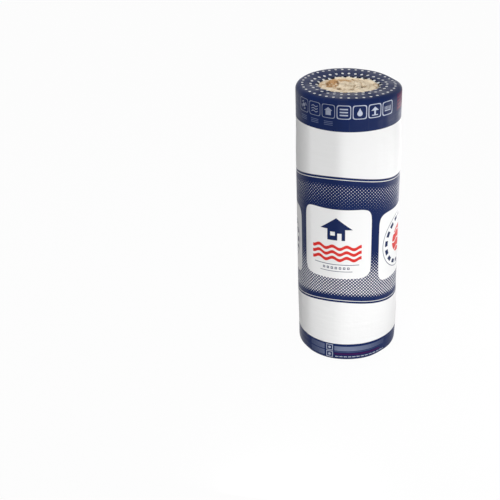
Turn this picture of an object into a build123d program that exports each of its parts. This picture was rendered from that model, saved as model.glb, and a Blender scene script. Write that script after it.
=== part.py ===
"""Insulation roll: a mineral-wool mat, wound tight and packed in one sheet of printed film.

The origin is the middle of the end that the roll stands on, with +Z up its axis.
The film's lap is on the +Y side. Sizes are in millimetres.
"""

import os
from math import cos, degrees, radians, sin

from build123d import *

# The packed roll. Its rounded shoulders are drawn in a few flats, alike on the wool and the film.
roll_height = 1200.0
roll_diameter = 430.0
shoulder_radius = 20.0
shoulder_flats = 4

# The film, which folds over both ends and leaves an oval of wool bare on each
film_gauge = 0.15
film_slack = 0.1
opening_width = 244.0
opening_depth = 184.0
lap_width = 50.0

# The wound mat: its first turn starts at the eye, which lies off the axis towards -X
turn_count = 8
turn_groove_width = 8.0
turn_groove_depth = 6.0
eye_diameter = 24.0
eye_offset = 55.0
eye_lip = 5.0

# Worked out from the sizes above
roll_radius = roll_diameter / 2
wool_inset = film_gauge + film_slack
wool_radius = roll_radius - wool_inset
wool_top = roll_height - wool_inset
middle_plane = Plane.XY.offset(roll_height / 2)
eye_right = -eye_offset + eye_diameter / 2
eye_left = -eye_offset - eye_diameter / 2
right_pitch = (wool_radius - eye_right) / turn_count
left_pitch = (wool_radius + eye_left) / turn_count

os.makedirs("parts", exist_ok=True)


def roll_profile(inset):
    """Half section of the packed roll, moved in by inset on every side."""
    upper = []
    for flat in range(shoulder_flats + 1):
        angle = radians(90 * flat / shoulder_flats)
        out = roll_radius - shoulder_radius + (shoulder_radius - inset) * cos(angle)
        up = roll_height - shoulder_radius + (shoulder_radius - inset) * sin(angle)
        upper.append((out, up))
    lower = [(out, roll_height - up) for out, up in reversed(upper)]
    with BuildSketch(Plane.XZ) as profile:
        with BuildLine():
            Polyline((0, inset), *lower, *upper, (0, roll_height - inset), close=True)
        make_face()
    return profile.sketch


def right_crossing(turns):
    """Where the line between the turns crosses +X from the eye, after so many turns."""
    return eye_right + turns * right_pitch


def left_crossing(turns):
    """Where it crosses -X from the eye, where the turns are squeezed thinner."""
    return eye_left - turns * left_pitch


# The groove between the turns of the mat: half circles that step outward from the eye,
# each starting where the last one ends
with BuildPart() as turn_groove:
    with BuildLine(Plane.XY.offset(wool_top)) as turn_line:
        for turn in range(turn_count - 1):
            start = right_crossing(turn)
            across = left_crossing(turn + 0.5)
            end = right_crossing(turn + 1)
            CenterArc(((start + across) / 2, 0), (start - across) / 2, 0, 180)
            CenterArc(((across + end) / 2, 0), (end - across) / 2, 180, 180)
    with BuildSketch(Plane(origin=turn_line.line @ 0, x_dir=(-1, 0, 0), z_dir=turn_line.line % 0)):
        with BuildLine():
            Polyline(
                (0, -turn_groove_depth),
                (turn_groove_width / 2, 0),
                (turn_groove_width / 2, turn_groove_depth),
                (-turn_groove_width / 2, turn_groove_depth),
                (-turn_groove_width / 2, 0),
                close=True,
            )
        make_face()
    sweep(path=turn_line.line)

# The mat, wound up into one turned body round its eye
with BuildPart() as wool_roll:
    revolve(roll_profile(wool_inset), axis=Axis.Z)
    with Locations((-eye_offset, 0, roll_height / 2)):
        Hole(eye_diameter / 2)
    chamfer(wool_roll.edges().filter_by(GeomType.CIRCLE).sort_by(SortBy.RADIUS)[:2], eye_lip)
    add(turn_groove.part, mode=Mode.SUBTRACT)
    mirror(turn_groove.part, about=middle_plane, mode=Mode.SUBTRACT)

# The film round it, with the lap where the sheet's two edges meet
lap_angle = degrees(lap_width / roll_radius)
with BuildPart() as film_wrap:
    revolve(roll_profile(0), axis=Axis.Z)
    revolve(roll_profile(film_gauge), axis=Axis.Z, mode=Mode.SUBTRACT)
    with BuildSketch(Plane.XZ.rotated((0, 0, 90 - lap_angle / 2))):
        with Locations((roll_radius - film_gauge, roll_height / 2)):
            Rectangle(
                2 * film_gauge,
                roll_height - 2 * shoulder_radius,
                align=(Align.MIN, Align.CENTER),
            )
    revolve(axis=Axis.Z, revolution_arc=lap_angle)
    with BuildSketch():
        Ellipse(opening_width / 2, opening_depth / 2)
    extrude(amount=roll_height, mode=Mode.SUBTRACT)

wool_roll.part.label = "wool_roll"
film_wrap.part.label = "film_wrap"

export_step(wool_roll.part, "parts/wool_roll.step")
export_step(film_wrap.part, "parts/film_wrap.step")
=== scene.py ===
import random
from math import atan2, cos, degrees, exp, floor, hypot, pi, radians, sin, sqrt

import bpy
from mathutils import Matrix, Vector, noise


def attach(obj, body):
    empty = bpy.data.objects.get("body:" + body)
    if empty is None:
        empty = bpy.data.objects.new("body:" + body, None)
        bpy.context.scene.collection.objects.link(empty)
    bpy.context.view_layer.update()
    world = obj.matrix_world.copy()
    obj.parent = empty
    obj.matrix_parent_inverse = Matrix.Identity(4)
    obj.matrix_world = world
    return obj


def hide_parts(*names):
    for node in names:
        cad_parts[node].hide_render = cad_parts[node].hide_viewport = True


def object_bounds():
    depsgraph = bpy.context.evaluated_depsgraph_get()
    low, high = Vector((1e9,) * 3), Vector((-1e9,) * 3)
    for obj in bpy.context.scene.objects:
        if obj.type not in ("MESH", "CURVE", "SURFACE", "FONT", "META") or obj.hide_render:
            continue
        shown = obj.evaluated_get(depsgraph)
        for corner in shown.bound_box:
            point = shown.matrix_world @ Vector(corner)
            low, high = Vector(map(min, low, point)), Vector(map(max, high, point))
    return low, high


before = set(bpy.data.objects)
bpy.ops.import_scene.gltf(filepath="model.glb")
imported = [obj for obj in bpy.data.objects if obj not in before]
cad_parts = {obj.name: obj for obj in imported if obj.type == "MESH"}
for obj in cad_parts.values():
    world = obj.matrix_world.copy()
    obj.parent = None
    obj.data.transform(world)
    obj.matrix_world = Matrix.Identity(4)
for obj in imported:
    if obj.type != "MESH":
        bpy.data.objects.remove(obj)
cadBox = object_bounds()
rollRadius = cadBox[1].x
rollHeight = cadBox[1].z
print("frame loaded, roll", round(rollRadius * 2, 3), "by", round(rollHeight, 3), "m")

# camera: where the photo was taken from, worked out from the roll's edges and end
cameraView = {
    "place": (0.0, -3.461, 2.283),
    "lens": 64.04,
    "tiltDown": 28.0,
    "turnLeft": -0.1,
    "roll": 0.7,
    "frameShift": -0.1967,
}

bpy.ops.object.camera_add(location=cameraView["place"])
camera = bpy.context.object
camera.name = "photoCamera"
camera.data.lens = cameraView["lens"]
camera.data.sensor_width = 36.0
camera.data.shift_x = cameraView["frameShift"]
aim = Matrix.Rotation(radians(cameraView["turnLeft"]), 4, "Z")
aim = aim @ Matrix.Rotation(radians(90 - cameraView["tiltDown"]), 4, "X")
aim = aim @ Matrix.Rotation(radians(cameraView["roll"]), 4, "Z")
camera.matrix_world = Matrix.Translation(cameraView["place"]) @ aim
bpy.context.scene.camera = camera
print("camera set")


# node helpers: a Wire is a value in a material's node tree that can be used in sums
class Wire:
    def __init__(self, tree, socket):
        self.tree = tree
        self.socket = socket

    def calc(self, operation, *others, clamp=False):
        node = self.tree.nodes.new("ShaderNodeMath")
        node.operation = operation
        node.use_clamp = clamp
        for value, socket in zip((self,) + others, node.inputs):
            if isinstance(value, Wire):
                self.tree.links.new(value.socket, socket)
            else:
                socket.default_value = value
        return Wire(self.tree, node.outputs[0])

    def __add__(self, other):
        return self.calc("ADD", other)

    def __sub__(self, other):
        return self.calc("SUBTRACT", other)

    def __mul__(self, other):
        return self.calc("MULTIPLY", other)

    def __abs__(self):
        return self.calc("ABSOLUTE")

    def most(self, other):
        return self.calc("MAXIMUM", other)

    def least(self, other):
        return self.calc("MINIMUM", other)

    def wrapped(self, pitch):
        return self.calc("WRAP", pitch / 2, -pitch / 2)

    def risen(self, low, high):
        # 0 below low, 1 above high, smooth between
        node = self.tree.nodes.new("ShaderNodeMapRange")
        node.interpolation_type = "SMOOTHSTEP"
        self.tree.links.new(self.socket, node.inputs["Value"])
        node.inputs["From Min"].default_value = low
        node.inputs["From Max"].default_value = high
        return Wire(self.tree, node.outputs["Result"])

    def ink(self, soft=0.0012):
        # 1 inside a shape, from the distance to its edge
        return self.calc("MULTIPLY_ADD", -1 / soft, 0.5, clamp=True)


def newMaterial(name, roughness):
    material = bpy.data.materials.new(name)
    material.use_nodes = True
    shader = material.node_tree.nodes["Principled BSDF"]
    shader.inputs["Roughness"].default_value = roughness
    return material, material.node_tree, shader


def split(tree, socket):
    node = tree.nodes.new("ShaderNodeSeparateXYZ")
    tree.links.new(socket, node.inputs[0])
    return [Wire(tree, node.outputs[axis]) for axis in range(3)]


def paint(tree, under, over, amount):
    # over on top of under, as colours
    node = tree.nodes.new("ShaderNodeMix")
    node.data_type = "RGBA"
    tree.links.new(amount.socket, node.inputs["Factor"])
    for value, socket in ((under, node.inputs[6]), (over, node.inputs[7])):
        if isinstance(value, Wire):
            tree.links.new(value.socket, socket)
        else:
            socket.default_value = (*value, 1)
    return Wire(tree, node.outputs[2])


def pointValue(tree, name):
    # a value kept at each point of the piece
    node = tree.nodes.new("ShaderNodeAttribute")
    node.attribute_name = name
    return Wire(tree, node.outputs["Fac"])


def roughField(tree, scale, detail=3.0, stretch=(1, 1, 1), source="Object", roughness=0.5):
    # noise on the piece, stretched along its axes
    place = tree.nodes.new("ShaderNodeTexCoord")
    mapping = tree.nodes.new("ShaderNodeMapping")
    mapping.inputs["Scale"].default_value = stretch
    field = tree.nodes.new("ShaderNodeTexNoise")
    field.inputs["Scale"].default_value = scale
    field.inputs["Detail"].default_value = detail
    field.inputs["Roughness"].default_value = roughness
    tree.links.new(place.outputs[source], mapping.inputs["Vector"])
    tree.links.new(mapping.outputs[0], field.inputs["Vector"])
    return Wire(tree, field.outputs["Fac"])


def addBump(tree, shader, height, distance, strength=1.0, under=None):
    bump = tree.nodes.new("ShaderNodeBump")
    bump.inputs["Distance"].default_value = distance
    bump.inputs["Strength"].default_value = strength
    tree.links.new(height.socket, bump.inputs["Height"])
    if under:
        tree.links.new(under.outputs[0], bump.inputs["Normal"])
    tree.links.new(bump.outputs[0], shader.inputs["Normal"])
    return bump


def startMesh(piece):
    bpy.ops.object.select_all(action="DESELECT")
    piece.select_set(True)
    bpy.context.view_layer.objects.active = piece


# the film: one printed sheet, wrapped round, lapped at the back and folded over both ends
# metres, and degrees for where a swell faces and how wide it is
film = {
    "columns": 404,
    "sideRows": 48,
    "shoulderRows": 6,
    "endRows": 26,
    "gauge": 0.00015,
    "shoulder": 0.020,
    "lap": 0.050,
    "lapLift": 0.0007,
    "foldOver": 0.084,
    "openHalfWidth": 0.122,
    "openHalfDepth": 0.096,
    "dish": 0.005,
    "puff": 0.0022,
    "pleats": 50,
    "pleatRise": 0.0026,
    "pleatLean": 0.80,
    "sideSway": 0.0013,
    "edgeTuck": 0.0040,
    "edgeRipple": 0.0016,
    "edgeWaver": 0.0030,
    "flats": 8,
    "firstFlat": -0.105,
    "flatBend": 0.033,
    "rimBlend": 0.10,
    "creaseBump": 0.0020,
    "crinkleBump": 0.0006,
    "rimSwells": ((128.0, 55.0, 0.0042), (28.0, 20.0, -0.0068)),
    "footSwells": ((-42.0, 14.0, -0.0040), (-148.0, 14.0, -0.0035)),
    "sideSwells": (
        (-6.0, 50.0, 1.08, 0.94, 0.0042),
        (-6.0, 50.0, 0.75, 0.35, 0.0018),
        (-6.0, 50.0, 0.30, 0.15, 0.0048),
        (-6.0, 50.0, 0.12, -0.02, -0.0040),
        (180.0, 50.0, 1.02, 0.90, 0.0018),
        (180.0, 50.0, 0.24, 0.10, -0.0018),
    ),
}
sheetWidth = 2 * pi * rollRadius + film["lap"]
shoulderArc = film["shoulder"] * pi / 2
sideLength = rollHeight - 2 * film["shoulder"]
sheetLength = sideLength + 2 * shoulderArc + 2 * film["foldOver"]
sideStart = film["foldOver"] + shoulderArc


def smooth(low, high, value):
    # 0 at low, 1 at high, smooth between
    t = min(max((value - low) / (high - low), 0.0), 1.0)
    return t * t * (3 - 2 * t)


def openingRadius(angle):
    wide, deep = film["openHalfWidth"], film["openHalfDepth"]
    return wide * deep / hypot(deep * cos(angle), wide * sin(angle))


def pleatHeight(angle, seed, folded):
    # the gathered film lies in leaning pleats, each of its own height, that grow towards the cut edge
    spot = Vector((cos(angle), sin(angle), 0.0)) * rollRadius
    drift = 2.4 * noise.noise(spot * 9 + seed) + 0.9 * noise.noise(spot * 26 + seed)
    place = film["pleats"] * angle / (2 * pi) + drift
    share = place - floor(place)
    lean = film["pleatLean"]
    saw = share / lean if share < lean else (1 - share) / (1 - lean)
    own = 0.55 + 0.9 * abs(noise.noise(Vector((floor(place) * 3.7, seed.z, 1.3))))
    return film["pleatRise"] * own * (saw - 0.5) * (0.04 + 0.96 * folded ** 1.3), saw


def facingShare(angle, facing, wide):
    # 1 on the side that faces that way, 0 away from it
    away = (degrees(angle) - facing + 180) % 360 - 180
    return exp(-((away / wide) ** 2))


def rimSwell(angle, upper):
    # how far the mat pushes out the rim of an end, or lets it sink: facing, width, rise
    swells = film["rimSwells"] if upper else film["footSwells"]
    return sum(rise * facingShare(angle, facing, wide) for facing, wide, rise in swells)


def sideSwell(angle, height):
    # how far the mat pushes out the side: facing, width, the heights where it starts and is full, rise
    swell = 0.0
    for facing, wide, start, full, rise in film["sideSwells"]:
        swell += rise * facingShare(angle, facing, wide) * smooth(start, full, height)
    return swell


def filmPoint(across, along):
    # across runs round the roll from the back, along from the lower cut edge to the upper one
    angle = pi / 2 + (across - film["lap"] / 2) / rollRadius
    upper = along > sheetLength / 2
    fromEdge = sheetLength - along if upper else along
    flatRadius = rollRadius - film["shoulder"]
    folded = min(max(1 - fromEdge / film["foldOver"], 0.0), 1.0)
    if fromEdge > sideStart:
        radius = rollRadius
        inset = film["shoulder"] + fromEdge - sideStart
        tip = 0.0
    elif fromEdge > film["foldOver"]:
        tip = (sideStart - fromEdge) / film["shoulder"]
        radius = flatRadius + film["shoulder"] * cos(tip)
        inset = film["shoulder"] * (1 - sin(tip))
    else:
        radius = flatRadius + folded * (openingRadius(angle) - flatRadius)
        inset = film["dish"] * smooth(0.25, 1.0, folded)
        tip = pi / 2
    seed = Vector((3.1, 7.7, 0.0 if upper else 19.0))
    spot = Vector((cos(angle), sin(angle), 0.0)) * rollRadius
    pleat, saw = pleatHeight(angle, seed, folded)
    # the wool under it makes the side sway a little, mostly in upright bands
    high = Vector((0, 0, along))
    sway = film["sideSway"] * noise.noise(spot * 6.5 + high * 1.2)
    sway += 0.3 * film["sideSway"] * noise.noise(spot * 24 + high * 2.5)
    puff = film["puff"] * noise.noise(spot * 14 + seed * 2) * smooth(0.0, 0.5, folded)
    lift = film["lapLift"] * smooth(sheetWidth - film["lap"] - 0.03, sheetWidth - film["lap"], across)
    ripple = film["edgeRipple"] * (saw - 0.5) * smooth(0.8, 1.0, folded)
    tuck = film["edgeTuck"] * smooth(0.88, 1.0, folded) - ripple
    outward = pleat + sway * (1 - 0.6 * folded) + puff + lift
    radius += outward * cos(tip)
    waver = noise.noise(spot * 22 + seed * 3) + 0.5 * (saw - 0.5)
    radius += film["edgeWaver"] * smooth(0.6, 1.0, folded) * waver
    inset -= outward * sin(tip) - tuck
    height = rollHeight - inset if upper else inset
    radius += sideSwell(angle, height) * (1 - folded)
    fromRim = fromEdge - sideStart
    swell = rimSwell(angle, upper) * smooth(film["rimBlend"], 0.0, fromRim) * smooth(0.85, 0.0, folded)
    height += swell if upper else -swell
    return Vector((radius * cos(angle), radius * sin(angle), height)), (saw - 0.5) * folded ** 0.8


def spread(count, start, end):
    return [start + (end - start) * step / count for step in range(count)]


rowPlaces = spread(film["endRows"], 0.0, film["foldOver"])
rowPlaces += spread(film["shoulderRows"], film["foldOver"], sideStart)
rowPlaces += spread(film["sideRows"], sideStart, sheetLength - sideStart)
rowPlaces += spread(film["shoulderRows"], sheetLength - sideStart, sheetLength - film["foldOver"])
rowPlaces += spread(film["endRows"], sheetLength - film["foldOver"], sheetLength) + [sheetLength]

bpy.ops.object.select_all(action="DESELECT")
bpy.ops.mesh.primitive_grid_add(
    x_subdivisions=film["columns"], y_subdivisions=len(rowPlaces) - 1, size=1, calc_uvs=True
)
filmWrap = bpy.context.object
filmWrap.name = "filmWrap"
mesh = filmWrap.data
ridges = mesh.attributes.new("ridge", "FLOAT", "POINT")
flatSpots = []
for point in mesh.vertices:
    across = (point.co.x + 0.5) * sheetWidth
    row = round((point.co.y + 0.5) * (len(rowPlaces) - 1))
    flatSpots.append((across, rowPlaces[row]))
for loop in mesh.loops:
    across, along = flatSpots[loop.vertex_index]
    mesh.uv_layers.active.data[loop.index].uv = (across / sheetWidth, along / sheetLength)
for point, mark, (across, along) in zip(mesh.vertices, ridges.data, flatSpots):
    point.co, mark.value = filmPoint(across, along)
mesh.uv_layers.active.name = "flatSheet"
mesh.update()
startMesh(filmWrap)
thickness = filmWrap.modifiers.new("gauge", "SOLIDIFY")
thickness.thickness = film["gauge"]
thickness.offset = -1
bpy.ops.object.modifier_apply(modifier="gauge")
bpy.ops.object.shade_smooth()
print("film wrapped,", len(mesh.polygons), "faces")

# the print on the film, laid out in metres on the flat sheet: across from the front, up from the floor
inkColours = {
    "paper": (0.80, 0.80, 0.80),
    "navy": (0.008, 0.018, 0.078),
    "red": (0.62, 0.035, 0.03),
    "wine": (0.052, 0.004, 0.058),
    # the next two are no inks: painted shade and a painted sheen for the gathered film
    "shadeInk": (0.004, 0.006, 0.018),
    "ridgeSheen": (0.12, 0.14, 0.24),
    "pale": (0.52, 0.56, 0.67),
    "faint": (0.10, 0.125, 0.22),
}
# how strongly the inks show, and how strongly the painted sheen and painted shade lie on the gathered film
# and along its cut edge
inkShares = {
    "ridgeSheen": 0.29,
    "foldShade": 0.75,
    "cutEdgeShade": 0.95,
    "labelLines": 0.17,
    "fineRules": 0.25,
    "warmLine": 0.7,
    "boxes": 0.7,
}
girth = 2 * pi * rollRadius
printLayout = {
    "headBand": 1.0715,
    "footBand": 0.0885,
    "dotsAround": 40,
    "dotsLost": 8,
    "dotsIn": 0.0055,
    "dotsSkew": 0.0036,
    "dotRows": 0.0384,
    "dotPitch": 0.0296,
    "dotRadius": 0.0053,
    "signHeight": 1.151,
    "signPitch": 0.0622,
    "signMiddle": -0.018,
    "signLine": 0.0019,
    "beltHeight": 0.572,
    "beltHalf": 0.290,
    "beltRise": -0.020,
    "beltStripe": 0.0026,
    "panels": 4,
    "firstPanel": -0.046,
    "panelHalfWide": 0.150,
    "panelHalfHigh": 0.160,
    "panelCorner": 0.075,
    "panelDrop": 0.014,
    "grainPitch": 0.0145,
    "labelPlace": (0.294, 1.155),
    "labelHalf": (0.062, 0.034),
    "labelRows": 0.0145,
    "labelLine": 0.0055,
    "footStart": 0.055,
    "footRepeats": 3,
    "footRules": 0.0610,
    "footRulePitch": 0.0058,
    "footRuleLine": 0.0030,
}


def boxShape(x, y, halfWide, halfHigh):
    return (abs(x) - halfWide).most(abs(y) - halfHigh)


def discShape(x, y, radius):
    return (x * x + y * y).calc("SQRT") - radius


def lineOf(shape, wide):
    return abs(shape) - wide / 2


def dotGrid(x, y):
    # plain dots in rows round each end, fewer and wider on the sheet where it gathers towards the opening
    layout = printLayout
    skew = (x * (1 / rollRadius)).calc("COSINE") * -layout["dotsSkew"] + layout["dotsSkew"]
    inward = abs(y - rollHeight / 2) - skew - (sideLength / 2 + shoulderArc + layout["dotsIn"])
    rowNumber = inward * (1 / layout["dotRows"])
    row = rowNumber.calc("ROUND")
    count = row * -layout["dotsLost"] + layout["dotsAround"]
    place = x * count * (1 / girth)
    beside = place.wrapped(1.0) * layout["dotPitch"]
    streak = row.risen(1.4, 1.6) * -0.6 + 1.0
    inRow = (rowNumber - row) * layout["dotRows"] * streak
    dots = discShape(beside, inRow, layout["dotRadius"]) - row * 0.0006
    return dots.most(rowNumber * -1.0 - 0.45)


def signRow(x, y):
    # plain signs in rounded frames: a sun, waves, a house, layers, a drop, an arrow and a rule
    layout = printLayout
    pitch = layout["signPitch"]
    group = (x - layout["signMiddle"]).wrapped(girth / 2)
    number = (group * (1 / pitch)).calc("ROUND")
    u = group - number * pitch
    v = y - layout["signHeight"]
    frameShape = (abs(u) - 0.0265).calc("SMOOTH_MAX", abs(v) - 0.0265, 0.016)
    waves = lineOf((v + (u * 260.0).calc("SINE") * 0.0022).wrapped(0.0105), 0.0032)
    waves = waves.most(boxShape(u, v, 0.016, 0.0155))
    layers = lineOf(v.wrapped(0.012), 0.0052).most(boxShape(u, v, 0.016, 0.017))
    drop = discShape(u, v + 0.005, 0.0105).least((abs(u) * 1.9 + v - 0.0165).most(v * -1.0 - 0.001))
    sunRays = (v.calc("ARCTAN2", u) * 4.0).calc("SINE")
    sun = discShape(u, v, 0.0075).least(lineOf(discShape(u, v, 0.0145), 0.005).most(sunRays * -0.004))
    arrow = (abs(u) * 0.9 + v - 0.017).most(v * -1.0 + 0.002)
    arrow = arrow.least(boxShape(u, v + 0.006, 0.0035, 0.009)).least(boxShape(u, v + 0.0165, 0.013, 0.0018))
    rule = lineOf(u.wrapped(0.0075), 0.0028).most(boxShape(u, v - 0.002, 0.0165, 0.0065))
    rule = rule.least(boxShape(u, v + 0.0085, 0.0165, 0.0018))
    home = boxShape(u, v + 0.006, 0.011, 0.009).least((abs(u) * 0.8 + v - 0.0165).most(v * -1.0 + 0.003))
    bold = number.risen(-0.6, -0.4)
    signs = lineOf(frameShape, layout["signLine"]) - bold * 0.0006
    for index, sign in enumerate((sun, waves, home, layers, drop, arrow, rule)):
        other = number.calc("COMPARE", index - 3.0, 0.5) * -1.0 + 1.0
        signs = signs.least(sign + other)
    beyond = abs(number) - 3.5
    # short faint rules stand for small print under three of the signs
    small = lineOf((v + 0.0005).wrapped(0.0068), 0.0026).most(boxShape(u, v + 0.0465, 0.0185, 0.0095))
    small = small.most(abs(number + 2.0) - 1.5)
    return signs.most(beyond), small.most(beyond)


def beltPrint(x, y):
    # a waving ribbon round the roll: diamonds along both its edges, and a white panel on each half wave
    layout = printLayout
    pitch = girth / layout["panels"]
    around = x - layout["firstPanel"]
    rise = layout["beltRise"]
    v = y - layout["beltHeight"] + (around * (pi / pitch)).calc("COSINE") * rise
    belt = abs(v) - layout["beltHalf"]
    stripe = lineOf(belt + 0.011, layout["beltStripe"])
    grain = layout["grainPitch"]
    leaning = abs((x + v).wrapped(grain)).most(abs((x - v).wrapped(grain)))
    inner = belt.risen(-0.018, -0.050)
    size = v.risen(0.02, -0.17) * inner + v.risen(0.08, 0.24) * inner * 0.60
    diamonds = leaning - size * (grain * 0.36) + 0.0010
    odd = abs((around * (1 / pitch)).calc("ROUND")).calc("MODULO", 2.0)
    u = around.wrapped(pitch)
    w = y - odd * (2 * rise) - (layout["beltHeight"] - rise - layout["panelDrop"])
    panel = (abs(u) - layout["panelHalfWide"]).calc(
        "SMOOTH_MAX", abs(w) - layout["panelHalfHigh"], layout["panelCorner"]
    )
    return belt, panel, diamonds.least(stripe), (u, w, odd)


def panelArt(u, v, odd):
    # by turns a house over three waves, and a sun in a ring of dashes
    roof = (abs(u) * 0.75 + v - 0.122).most(v * -1.0 + 0.070)
    house = boxShape(u, v - 0.047, 0.038, 0.027).least(roof)
    house = house.most(boxShape(u - 0.014, v - 0.036, 0.009, 0.0165) * -1.0)
    house = house.most(boxShape(u + 0.015, v - 0.050, 0.010, 0.009) * -1.0)
    rules = boxShape(u, v + 0.094, 0.098, 0.0014).least(boxShape(u, v + 0.126, 0.070, 0.0012))
    squares = boxShape(u.wrapped(0.0175), v + 0.110, 0.0050, 0.0055).most(abs(u) - 0.061)
    squares = squares.most(boxShape(u.wrapped(0.0175), v + 0.110, 0.0022, 0.0025) * -1.0)
    wavy = v + (u * 104.0).calc("SINE") * 0.0062 + 0.0405
    waves = lineOf(wavy.wrapped(0.0262), 0.0150).most(abs(wavy) - 0.0393).most(abs(u) - 0.108)
    bearing = v.calc("ARCTAN2", u)
    dashes = lineOf(discShape(u, v, 0.106), 0.017).most((bearing * 16.0).calc("SINE") * 0.006 - 0.002)
    ring = lineOf(discShape(u, v, 0.127), 0.0028)
    ripples = lineOf((v + (u * 104.0).calc("SINE") * 0.005).wrapped(0.04), 0.006)
    sun = discShape(u, v, 0.062).most(ripples * -1.0)
    navy = (house.least(rules).least(squares) + odd).least(dashes.least(ring) - odd + 1.0)
    return navy, (waves + odd).least(sun - odd + 1.0)


def footPrint(x, y):
    # blocks of fine rules with two small boxes between them, and a row of dashes below
    layout = printLayout
    u = (x - layout["footStart"]).wrapped(girth / layout["footRepeats"])
    fine = lineOf((y - layout["footRules"]).wrapped(layout["footRulePitch"]), layout["footRuleLine"])
    blocks = boxShape(u - 0.012, y - layout["footRules"], 0.118, 0.0150)
    blocks = blocks.least(boxShape(u + 0.193, y - 0.0500, 0.041, 0.0290))
    blocks = blocks.most(lineOf(y - 0.0500, 0.0040) * -1.0)
    boxU, boxV = u + 0.128, abs(y - 0.0490) - 0.0175
    boxes = lineOf(boxShape(boxU, boxV, 0.0138, 0.0138), 0.0034)
    boxes = boxes.least(discShape(boxU, boxV, 0.0062))
    dashes = boxShape(u.wrapped(0.0190), y - 0.0225, 0.0070, 0.0022).most(abs(u - 0.012) - 0.118)
    warm = boxShape(u, y - 0.0360, 0.106, 0.0045)
    bright = abs(u + 0.055).risen(0.24, 0.0)
    return fine.most(blocks), blocks, boxes.least(dashes), warm, bright


filmPrint, tree, shader = newMaterial("filmPrint", 0.30)
shader.inputs["IOR"].default_value = 1.15
sheetMap = tree.nodes.new("ShaderNodeUVMap")
sheetMap.uv_map = "flatSheet"
u, v, _ = split(tree, sheetMap.outputs[0])
fromFront = u * sheetWidth - sheetWidth / 2
fromFloor = v * sheetLength - (sideStart - film["shoulder"])
inks = inkColours
bands = (fromFloor * -1.0 + printLayout["headBand"]).least(fromFloor - printLayout["footBand"])
belt, panel, grain, panelPlace = beltPrint(fromFront, fromFloor)
signs, smallPrint = signRow(fromFront, fromFloor)
navyArt, redArt = panelArt(*panelPlace)
fineRules, ruleBlocks, boxesAndDashes, warmLine, footBright = footPrint(fromFront, fromFloor)
labelAcross, labelUp = printLayout["labelPlace"]
besideLabel = (fromFront - labelAcross).wrapped(sheetWidth)
label = boxShape(besideLabel, fromFloor - labelUp, *printLayout["labelHalf"])
labelRows = lineOf(fromFloor.wrapped(printLayout["labelRows"]), printLayout["labelLine"])
labelLines = labelRows.most(label + 0.007)
# where the film is gathered, a painted sheen lightens the navy on the pleats' ridges and painted shade
# darkens it in the folds
ridge = pointValue(tree, "ridge")
streaks = roughField(tree, 1.0, 3.0, (150, 9, 1), "UV")
ridgeSheenShare = (ridge + streaks * 1.1 - 0.55).risen(0.10, 0.60) * inkShares["ridgeSheen"]
navyFilm = paint(tree, inks["navy"], inks["ridgeSheen"], ridgeSheenShare)
foldShade = (ridge * -1.0 + streaks * 0.9 - 0.45).risen(0.12, 0.46) * inkShares["foldShade"]
navyFilm = paint(tree, navyFilm, inks["shadeInk"], foldShade)
toCutEdge = abs(v - 0.5) * -sheetLength + sheetLength / 2
# painted shade on the navy along the cut edge, where the film meets the wool
navyFilm = paint(tree, navyFilm, inks["shadeInk"], toCutEdge.risen(0.017, 0.005) * inkShares["cutEdgeShade"])
colour = paint(tree, inks["paper"], navyFilm, bands.least(belt).ink())
colour = paint(tree, colour, inks["paper"], grain.most(belt).least(panel).ink())
colour = paint(tree, colour, inks["paper"], dotGrid(fromFront, fromFloor).ink())
colour = paint(tree, colour, inks["wine"], label.ink())
colour = paint(tree, colour, inks["red"], labelLines.ink() * inkShares["labelLines"])
colour = paint(tree, colour, inks["faint"], smallPrint.ink())
# the pale signs are painted faint on the left of the front and full towards the right, as the light falls:
# painted light
colour = paint(tree, colour, inks["pale"], signs.ink() * (fromFront.risen(-0.14, 0.08) * 0.55 + 0.45))
colour = paint(tree, colour, inks["faint"], ruleBlocks.ink() * footBright)
colour = paint(tree, colour, inks["pale"], fineRules.ink() * footBright * inkShares["fineRules"])
colour = paint(tree, colour, inks["wine"], warmLine.ink() * inkShares["warmLine"])
colour = paint(tree, colour, inks["pale"], boxesAndDashes.ink() * inkShares["boxes"])
colour = paint(tree, colour, inks["red"], redArt.most(panel + 0.004).ink())
colour = paint(tree, colour, inks["navy"], navyArt.most(panel + 0.004).ink())
# the cut edge itself is bare
colour = paint(tree, colour, inks["paper"], (toCutEdge - 0.0008).ink())
tree.links.new(colour.socket, shader.inputs["Base Color"])
# the mat stands in slight flats under the film, plainest in front and towards the top
flatPitch = girth / film["flats"]
flatNumber = ((fromFront - film["firstFlat"]) * (1 / flatPitch)).calc("ROUND")
onFlat = fromFront - film["firstFlat"] - flatNumber * flatPitch
flatBend = film["flatBend"]
corner = (abs(onFlat) - (flatPitch / 2 - flatBend)).most(0.0)
corner = corner * corner * (flatPitch / 2 / flatBend)
flatHeight = onFlat * onFlat - corner - (flatPitch / 2 * (flatPitch / 2 - flatBend))
flatShare = (flatNumber.calc("COMPARE", 0.5, 0.6) * 0.8 + 0.2) * (fromFloor.risen(0.20, 0.90) * 0.6 + 0.4)
flattened = addBump(tree, shader, flatHeight * flatShare, 1 / (2 * rollRadius))
creases = roughField(tree, 9.0, 2.5, (1, 1, 6))
creased = addBump(tree, shader, creases, film["creaseBump"], 1.0, flattened)
crinkle = roughField(tree, 46.0, 3.0, (1, 1, 1.6))
addBump(tree, shader, crinkle, film["crinkleBump"], 1.0, creased)
shine = roughField(tree, 7.0, 3.0) * 0.14 + 0.26
tree.links.new(shine.socket, shader.inputs["Roughness"])
filmWrap.data.materials.append(filmPrint)
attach(filmWrap, "root")
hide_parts("film_wrap")
print("film printed,", len(tree.nodes), "nodes")

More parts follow.
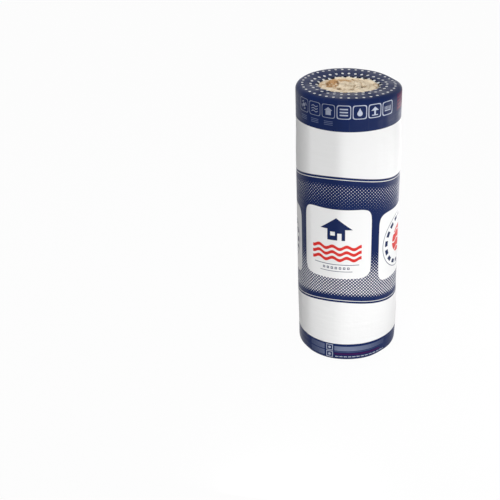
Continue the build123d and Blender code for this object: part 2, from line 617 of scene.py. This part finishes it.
# the wool: the wound mat, with its turns and crumpled layers on both ends
wool = {
    "cells": 184,
    "seed": 6,
    "reach": 0.134,
    "sideGap": 0.0035,
    "shoulder": 0.020,
    "turns": 8,
    "eye": (-0.055, 0.0),
    "eyeRadius": 0.012,
    "level": 0.0070,
    "warp": (0.010, 0.0030),
    "underFilm": 0.0120,
    "creviceDepth": 0.0052,
    "creviceWidth": 0.0030,
    "turnCrown": 0.0022,
    "foldDepth": 0.0090,
    "seamDepth": 0.0030,
    "seamWidth": 0.17,
    "leafDepth": 0.0026,
    "fineDepth": 0.0012,
    "fuzzDepth": 0.0024,
    "rimCrest": 0.0030,
    "crestPlace": 0.90,
    "crestWidth": 0.055,
    "pit": (-0.0680, 0.021),
    "pitReach": (0.0310, 0.064),
    "pitDepth": 0.014,
    "pitLumps": (0.005, 0.004),
    "haloReach": (2.1, 0.9),
    "lobe": (-0.027, 0.002),
    "lobeReach": (0.018, 0.042),
    "lobeRise": 0.004,
    "behind": (-0.006, 0.062),
    "behindReach": (0.046, 0.010),
    "warmEnds": (0.082, 0.118),
    "tuftBump": 0.0018,
    "speckBump": 0.0008,
    # small pockets and grooves between the folds: place, reach along and across, depth, turn, and the
    # painted shade in them
    "pockets": (
        (-0.036, -0.044, 0.0062, 0.0105, 0.009, 10, 1.45),
        (0.010, -0.053, 0.0070, 0.0100, 0.009, -10, 1.45),
        (0.059, -0.013, 0.0088, 0.0135, 0.010, 10, 1.60),
        (0.034, -0.029, 0.0240, 0.0050, 0.003, 30, 0.95),
        (-0.001, -0.009, 0.0210, 0.0105, 0.004, -4, 0.70),
        (0.031, 0.014, 0.0170, 0.0040, 0.003, 28, 0.70),
        (0.044, 0.040, 0.0240, 0.0060, 0.004, -18, 0.60),
        (0.107, 0.016, 0.0090, 0.0200, 0.005, 0, 0.72),
        (-0.086, 0.034, 0.0080, 0.0110, 0.003, 0, 0.50),
        (0.014, 0.084, 0.0050, 0.0060, 0.003, 0, 0.90),
    ),
}
# noise_vector starts from the clock unless it is seeded
noise.seed_set(wool["seed"])
woolRadius = rollRadius - wool["sideGap"]
eyeX, eyeY = wool["eye"]
eyeRight = eyeX + wool["eyeRadius"]
eyeLeft = eyeX - wool["eyeRadius"]
rightPitch = (rollRadius - eyeRight) / wool["turns"]
leftPitch = (rollRadius + eyeLeft) / wool["turns"]


def turnAt(x, y):
    # how many turns out from the eye a point lies: the winding is half circles on the X axis
    if y >= 0:
        right, left = eyeRight, eyeLeft - leftPitch / 2
    else:
        right, left = eyeRight + rightPitch, eyeLeft - leftPitch / 2
    middle, middleStep = (right + left) / 2, (rightPitch - leftPitch) / 2
    size, sizeStep = (right - left) / 2, (rightPitch + leftPitch) / 2
    a = middleStep ** 2 - sizeStep ** 2
    b = -2 * (x - middle) * middleStep - 2 * size * sizeStep
    c = (x - middle) ** 2 + y ** 2 - size ** 2
    return (-b - sqrt(max(b * b - 4 * a * c, 0.0))) / (2 * a)


def woolDepth(x, y, end):
    # how far below the end's plane the wool lies there, how much painted shade it gets, and how near the
    # eye, 0 to 1
    seed = Vector((11.3, 2.9, 5.0 + 31.0 * end))
    spot = Vector((x, y, 0.0))
    broadWarp, fineWarp = wool["warp"]
    push = noise.noise_vector(spot * 12 + seed) * broadWarp + noise.noise_vector(spot * 40 + seed) * fineWarp
    wx, wy = x + push.x, y + push.y
    turn = turnAt(wx, wy)
    layer = turn - floor(turn)
    angle = atan2(wy - eyeY, wx - eyeX)
    pitch = (rightPitch + leftPitch) / 2 + (rightPitch - leftPitch) / 2 * cos(angle)
    edge = min(layer, 1 - layer) * pitch
    gate = 0.55 + 1.2 * noise.noise(spot * 18 + seed * 2)
    crevice = exp(-(edge / wool["creviceWidth"]) ** 2) * min(max(gate, 0.15), 1.0)
    crown = 4 * layer * (1 - layer) - 0.6
    # each turn is made of thin layers that lie along it
    along = angle * hypot(wx - eyeX, wy - eyeY)
    leaves = noise.noise(Vector((layer * 9.5 + floor(turn) * 5.6, along * 24, 3.4 * end)))
    fine = noise.noise(Vector((layer * 21.0 + floor(turn) * 5.1, along * 60, 9.0 + end)))
    # broad soft folds, with a seam where two of them meet
    folds = noise.noise(spot * 15 + seed * 3 + push * 20)
    meet = noise.noise(spot * 19 + seed * 4 + push * 25)
    seamGate = 0.35 + 1.3 * noise.noise(spot * 11 + seed * 5)
    seam = exp(-abs(meet) / wool["seamWidth"] * 2) * min(max(seamGate, 0.0), 1.0)
    lumps = noise.noise(spot * 55 + seed)
    flecks = noise.noise(spot * 105 + seed * 6)
    fuzz = 0.5 * noise.noise(spot * 150 + seed) + 0.5 * noise.noise(spot * 290 + seed)
    pitX, pitY = wool["pit"]
    away = hypot((wx - pitX) / wool["pitReach"][0], (wy - pitY) / wool["pitReach"][1])
    pit = 1 - smooth(0.60, 1.06, away + 0.25 * lumps)
    pocketShade = 0.0
    sunk = 0.0
    for placeX, placeY, reachX, reachY, deep, turned, shade in wool["pockets"]:
        lean = radians(turned)
        offX, offY = x - placeX + 0.7 * push.x, y - placeY + 0.7 * push.y
        alongIt = offX * cos(lean) + offY * sin(lean)
        acrossIt = offY * cos(lean) - offX * sin(lean)
        share = exp(-((alongIt / reachX) ** 2 + (acrossIt / reachY) ** 2))
        share *= 1 + 0.9 * flecks + 0.7 * lumps
        pocketShade = max(pocketShade, share * shade)
        sunk = max(sunk, share * deep)
    opened = hypot(x, y) / openingRadius(atan2(y, x))
    crest = exp(-(((opened - wool["crestPlace"]) / wool["crestWidth"]) ** 2))
    calm = 1 - 0.55 * crest
    depth = wool["level"] + wool["creviceDepth"] * crevice - wool["turnCrown"] * crown
    depth = depth + wool["pitDepth"] * pit + sunk
    depth += (wool["foldDepth"] * (0.8 * folds + 0.3 * lumps) + wool["seamDepth"] * seam) * calm
    depth += wool["leafDepth"] * leaves + wool["fineDepth"] * fine + wool["fuzzDepth"] * fuzz
    pitLump, pitFleck = wool["pitLumps"]
    depth += pit * (pitLump * lumps + pitFleck * flecks) - wool["rimCrest"] * crest
    under = smooth(0.955, 1.0, opened)
    depth += (wool["underFilm"] - depth) * under
    # painted shade: darker in crevices, seams, pockets, folds, the pit's walls and under the film's edge;
    # painted light on the rim's crest
    wall = 4 * pit * (1 - pit)
    hollowShade = 0.46 * crevice + 0.24 * seam + pocketShade + 1.0 * max(folds, 0) + 0.4 * leaves + 0.6 * fuzz
    hollowShade += wall * (0.20 + 0.55 * smooth(pitX - 0.01, pitX + 0.02, wx)) - 0.45 * crest + 0.6 * under
    hollowShade += pit * 1.5 * max(flecks, 0)
    # the soft edge of the next turn bulges beside the eye, and is painted lighter there: painted light
    lobeX = (x - wool["lobe"][0]) / wool["lobeReach"][0]
    lobeY = (y - wool["lobe"][1]) / wool["lobeReach"][1]
    lobe = exp(-(lobeX ** 2) - lobeY ** 2) * (1 - pit)
    depth -= wool["lobeRise"] * lobe
    hollowShade -= 0.55 * lobe
    # the warm colour round the eye, along the fold behind it and at the two ends of the opening
    behindX = (wx - wool["behind"][0]) / wool["behindReach"][0]
    behindY = (wy - wool["behind"][1]) / wool["behindReach"][1]
    behind = exp(-(behindY ** 2) - behindX ** 2)
    halo = smooth(*wool["haloReach"], away) * (1 - lobe) * (0.22 + 0.6 * lumps)
    ends = smooth(*wool["warmEnds"], abs(wx)) * (0.34 + 0.6 * lumps)
    warm = pit * (0.80 + 1.2 * lumps + 1.4 * flecks + 0.8 * fuzz) + 0.55 * behind + max(halo, ends)
    return depth, min(max(hollowShade, 0.0), 1.0), min(max(warm, 0.0), 1.0)


bpy.ops.object.select_all(action="DESELECT")
bpy.ops.mesh.primitive_grid_add(x_subdivisions=wool["cells"], y_subdivisions=wool["cells"], size=2)
woolRoll = bpy.context.object
woolRoll.name = "woolRoll"
for point in woolRoll.data.vertices:
    # the square grid is eased into a disc
    x, y = point.co.x, point.co.y
    point.co.x = wool["reach"] * x * sqrt(1 - y * y / 2)
    point.co.y = wool["reach"] * y * sqrt(1 - x * x / 2)
    point.co.z = rollHeight - wool["underFilm"]
bpy.ops.object.mode_set(mode="EDIT")
bpy.ops.mesh.select_all(action="SELECT")
bpy.ops.mesh.region_to_loop()
flatEdge = woolRadius - wool["shoulder"]
# each step draws the edge out and up or down: under the film, round the shoulder, then down the side
steps = [((wool["reach"] + 0.02) / wool["reach"], 0.001), (flatEdge / (wool["reach"] + 0.02), 0.001)]
last = flatEdge
for bend in range(1, 5):
    radius = flatEdge + wool["shoulder"] * sin(bend * pi / 8)
    drop = wool["shoulder"] * (cos((bend - 1) * pi / 8) - cos(bend * pi / 8))
    steps.append((radius / last, -drop))
    last = radius
steps += [(1.0, -0.1), (1.0, -0.2), (1.0, -(rollHeight / 2 - 0.3 - wool["shoulder"] - 0.010))]
for grow, rise in steps:
    bpy.ops.mesh.extrude_edges_move()
    bpy.ops.transform.resize(value=(grow, grow, 1.0), center_override=(0, 0, 0))
    bpy.ops.transform.translate(value=(0, 0, rise))
bpy.ops.object.mode_set(mode="OBJECT")
for point in woolRoll.data.vertices:
    if point.co.z < rollHeight / 2 + 0.01:
        point.co.z = rollHeight / 2
startMesh(woolRoll)
bpy.ops.object.mode_set(mode="EDIT")
bpy.ops.mesh.select_all(action="SELECT")
bpy.ops.mesh.duplicate()
bpy.ops.transform.resize(value=(1, 1, -1), center_override=(0, 0, rollHeight / 2))
bpy.ops.mesh.select_all(action="SELECT")
bpy.ops.mesh.remove_doubles(threshold=0.00005)
bpy.ops.mesh.normals_make_consistent(inside=False)
bpy.ops.object.mode_set(mode="OBJECT")
shadeValues = woolRoll.data.attributes.new("hollowShade", "FLOAT", "POINT")
nearEye = woolRoll.data.attributes.new("nearEye", "FLOAT", "POINT")
for point, shadeMark, warmMark in zip(woolRoll.data.vertices, shadeValues.data, nearEye.data):
    x, y, z = point.co
    reach = hypot(x, y)
    if reach > wool["reach"] + 0.001 or abs(z - rollHeight / 2) < rollHeight / 2 - 0.03:
        # the side swells with the film
        shadeMark.value = 0.2
        if reach > flatEdge - 0.001:
            grown = 1 + sideSwell(atan2(y, x), z) / reach
            point.co.x, point.co.y = x * grown, y * grown
        continue
    end = 1 if z > rollHeight / 2 else 0
    depth, shadeMark.value, warmMark.value = woolDepth(x, y, end)
    point.co.z = rollHeight - depth if end else depth
startMesh(woolRoll)
bpy.ops.object.shade_smooth()
print("wool wound,", len(woolRoll.data.polygons), "faces")

# loose fibres that stand out of the wool in both openings
fibres = {
    "count": 420,
    "thick": 0.00022,
    "long": (0.008, 0.026),
    "fromRim": 0.004,
    "bends": 5,
    "curl": 1.6,
    "lie": 0.0004,
    "arch": 0.0024,
    "rootDepth": 0.0012,
    "taper": 0.6,
    "seed": 7,
    "darkTone": (0.55, 0.38, 0.20),
    "paleTone": (0.80, 0.66, 0.45),
}
random.seed(fibres["seed"])
bpy.ops.object.select_all(action="DESELECT")
bpy.ops.curve.primitive_nurbs_path_add(location=(0, 0, 0))
looseFibres = bpy.context.object
looseFibres.name = "looseFibres"
strands = looseFibres.data
strands.splines.clear()
strands.bevel_depth = fibres["thick"]
strands.bevel_resolution = 0
strands.use_fill_caps = True
strands.resolution_u = 3
for strand in range(fibres["count"]):
    end = strand % 2
    angle = random.uniform(0, 2 * pi)
    reach = sqrt(random.uniform(0, 1)) * (openingRadius(angle) - fibres["fromRim"])
    x, y = reach * cos(angle), reach * sin(angle)
    heading = random.uniform(0, 2 * pi)
    length = random.uniform(*fibres["long"])
    curl = random.uniform(-fibres["curl"], fibres["curl"])
    spline = strands.splines.new("POLY")
    spline.points.add(fibres["bends"])
    for step, point in enumerate(spline.points):
        t = step / fibres["bends"]
        heading += curl / fibres["bends"]
        x += length / fibres["bends"] * cos(heading)
        y += length / fibres["bends"] * sin(heading)
        ground, _, _ = woolDepth(x, y, end)
        rise = fibres["lie"] + fibres["arch"] * sin(pi * t) * random.uniform(0.5, 1.0)
        rise -= fibres["rootDepth"] * (t == 0)
        height = rollHeight - ground + rise if end else ground - rise
        point.co = (x, y, height, 1)
        point.radius = 1.0 - fibres["taper"] * t
startMesh(looseFibres)
bpy.ops.object.convert(target="MESH")
looseFibres = bpy.context.object
bpy.ops.object.shade_smooth()
print("fibres laid,", len(looseFibres.data.polygons), "faces")

woolTones = {
    "cream": (0.93, 0.81, 0.63),
    "tan": (0.56, 0.415, 0.255),
    "eye": (0.60, 0.37, 0.185),
    # deep: the dark brown of the painted shade in the wool's hollows
    "deep": (0.14, 0.078, 0.034),
}
woolFelt, tree, shader = newMaterial("woolFelt", 0.95)
shader.inputs["Specular IOR Level"].default_value = 0.15
hollowShade = pointValue(tree, "hollowShade")
warm = pointValue(tree, "nearEye")
patches = roughField(tree, 30.0, 4.0)
streaks = roughField(tree, 230.0, 5.0, (1, 1, 0.5), roughness=0.65)
specks = roughField(tree, 620.0, 2.0)
# tan: random patches and streaks, deepened by the painted shade in the hollows
tanShare = (patches * 1.1 + hollowShade * 1.1 + streaks * 0.6 - 0.84).risen(0.0, 0.9)
colour = paint(tree, woolTones["cream"], woolTones["tan"], tanShare)
eyeShare = (warm * 1.2 + patches * 0.7 + streaks * 0.5 - 0.70).risen(0.0, 0.7)
colour = paint(tree, colour, woolTones["eye"], eyeShare * warm.risen(0.0, 0.3))
# deep brown where the painted shade is strongest, broken by streaks and specks
paintedShadeShare = (hollowShade + streaks * 0.35 + specks * 0.25 - 0.40).risen(0.34, 1.10)
colour = paint(tree, colour, woolTones["deep"], paintedShadeShare)
tree.links.new(colour.socket, shader.inputs["Base Color"])
tufted = addBump(tree, shader, streaks, wool["tuftBump"])
addBump(tree, shader, specks, wool["speckBump"], 1.0, tufted)
woolRoll.data.materials.append(woolFelt)
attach(woolRoll, "root")
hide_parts("wool_roll")

fibreGlint, tree, shader = newMaterial("fibreGlint", 0.6)
colour = paint(tree, fibres["darkTone"], fibres["paleTone"], roughField(tree, 60.0, 2.0))
tree.links.new(colour.socket, shader.inputs["Base Color"])
looseFibres.data.materials.clear()
looseFibres.data.materials.append(fibreGlint)
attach(looseFibres, "root")
print("wool coloured")

# floor and soft light: the surround is lit in upright panels, each with its facing, half width and strength
studio = {
    "floorSize": 30.0,
    "floorTone": 0.10,
    "floorWhite": 0.90,
    "floorShow": 0.96,
    "floorDrop": 0.0005,
    "panels": ((-8.0, 26.0, 5.0), (100.0, 40.0, 0.15), (150.0, 36.0, 0.4)),
    "overhead": 0.16,
    "overheadEdge": (0.60, 0.88),
}
bpy.ops.object.select_all(action="DESELECT")
bpy.ops.mesh.primitive_plane_add(size=studio["floorSize"], location=(0, 0, -studio["floorDrop"]))
floorPlane = bpy.context.object
floorPlane.name = "studioFloor"
floorWhite = bpy.data.materials.new("floorWhite")
floorWhite.use_nodes = True
tree = floorWhite.node_tree
tree.nodes.clear()
paths = tree.nodes.new("ShaderNodeLightPath")
seen = Wire(tree, paths.outputs["Is Camera Ray"]).most(Wire(tree, paths.outputs["Is Glossy Ray"]))
seen = seen.most(Wire(tree, paths.outputs["Is Transmission Ray"]))
matt = tree.nodes.new("ShaderNodeBsdfDiffuse")
tone = paint(tree, [studio["floorTone"]] * 3, [studio["floorWhite"]] * 3, seen)
tree.links.new(tone.socket, matt.inputs["Color"])
glow = tree.nodes.new("ShaderNodeEmission")
glow.inputs["Color"].default_value = (1, 1, 1, 1)
mixed = tree.nodes.new("ShaderNodeMixShader")
tree.links.new((seen * studio["floorShow"]).socket, mixed.inputs[0])
tree.links.new(matt.outputs[0], mixed.inputs[1])
tree.links.new(glow.outputs[0], mixed.inputs[2])
output = tree.nodes.new("ShaderNodeOutputMaterial")
tree.links.new(mixed.outputs[0], output.inputs["Surface"])
floorPlane.data.materials.append(floorWhite)

world = bpy.context.scene.world or bpy.data.worlds.new("studioWorld")
bpy.context.scene.world = world
world.use_nodes = True
tree = world.node_tree
tree.nodes.clear()
direction = tree.nodes.new("ShaderNodeTexCoord")
dx, dy, dz = split(tree, direction.outputs["Generated"])
azimuth = dx.calc("ARCTAN2", dy * -1.0) * (180 / pi)
edgeLow, edgeHigh = studio["overheadEdge"]
level = dz.risen(edgeLow, edgeHigh) * studio["overhead"]
for facing, halfWide, strength in studio["panels"]:
    lit = abs((azimuth - facing).wrapped(360.0)).risen(halfWide, halfWide * 0.5)
    level = level + lit * dz.risen(edgeHigh, edgeLow) * strength
paths = tree.nodes.new("ShaderNodeLightPath")
seen = Wire(tree, paths.outputs["Is Camera Ray"]).most(Wire(tree, paths.outputs["Is Glossy Ray"]))
seen = seen.most(Wire(tree, paths.outputs["Is Transmission Ray"]))
level = level + seen * (level * -1.0 + 1.0)
background = tree.nodes.new("ShaderNodeBackground")
background.inputs["Color"].default_value = (1, 1, 1, 1)
tree.links.new(level.socket, background.inputs["Strength"])
output = tree.nodes.new("ShaderNodeOutputWorld")
tree.links.new(background.outputs[0], output.inputs["Surface"])

# soft boxes, each with the height it is aimed at: three on the right that give the film its sheen,
# one high above, and one near the floor in front
softBoxes = {
    "rightBox": {"place": (1.34, -0.91, 0.50), "aim": 0.8, "size": (1.15, 0.45), "power": 12.2},
    "sideBox": {"place": (1.30, 0.27, 0.52), "aim": 0.8, "size": (0.45, 0.50), "power": 5.2},
    "rimBox": {"place": (0.49, 0.37, 0.68), "aim": 0.8, "size": (0.25, 0.55), "power": 1.1},
    "topBox": {"place": (-0.25, 0.65, 3.70), "aim": 1.2, "size": (1.5, 1.5), "power": 24.0},
    "lowBox": {"place": (-0.19, -1.10, 0.12), "aim": 0.2, "size": (0.5, 0.2), "power": 1.8},
}
for name, box in softBoxes.items():
    bpy.ops.object.light_add(type="AREA", location=box["place"])
    lamp = bpy.context.object
    lamp.name = name
    lamp.data.shape = "RECTANGLE"
    lamp.data.size, lamp.data.size_y = box["size"]
    lamp.data.energy = box["power"]
    fromAim = Vector(box["place"]) - Vector((0, 0, box["aim"]))
    lamp.rotation_euler = fromAim.to_track_quat("Z", "Y").to_euler()
    lamp.visible_camera = False
bpy.context.scene.view_settings.view_transform = "Standard"
print("studio lit")
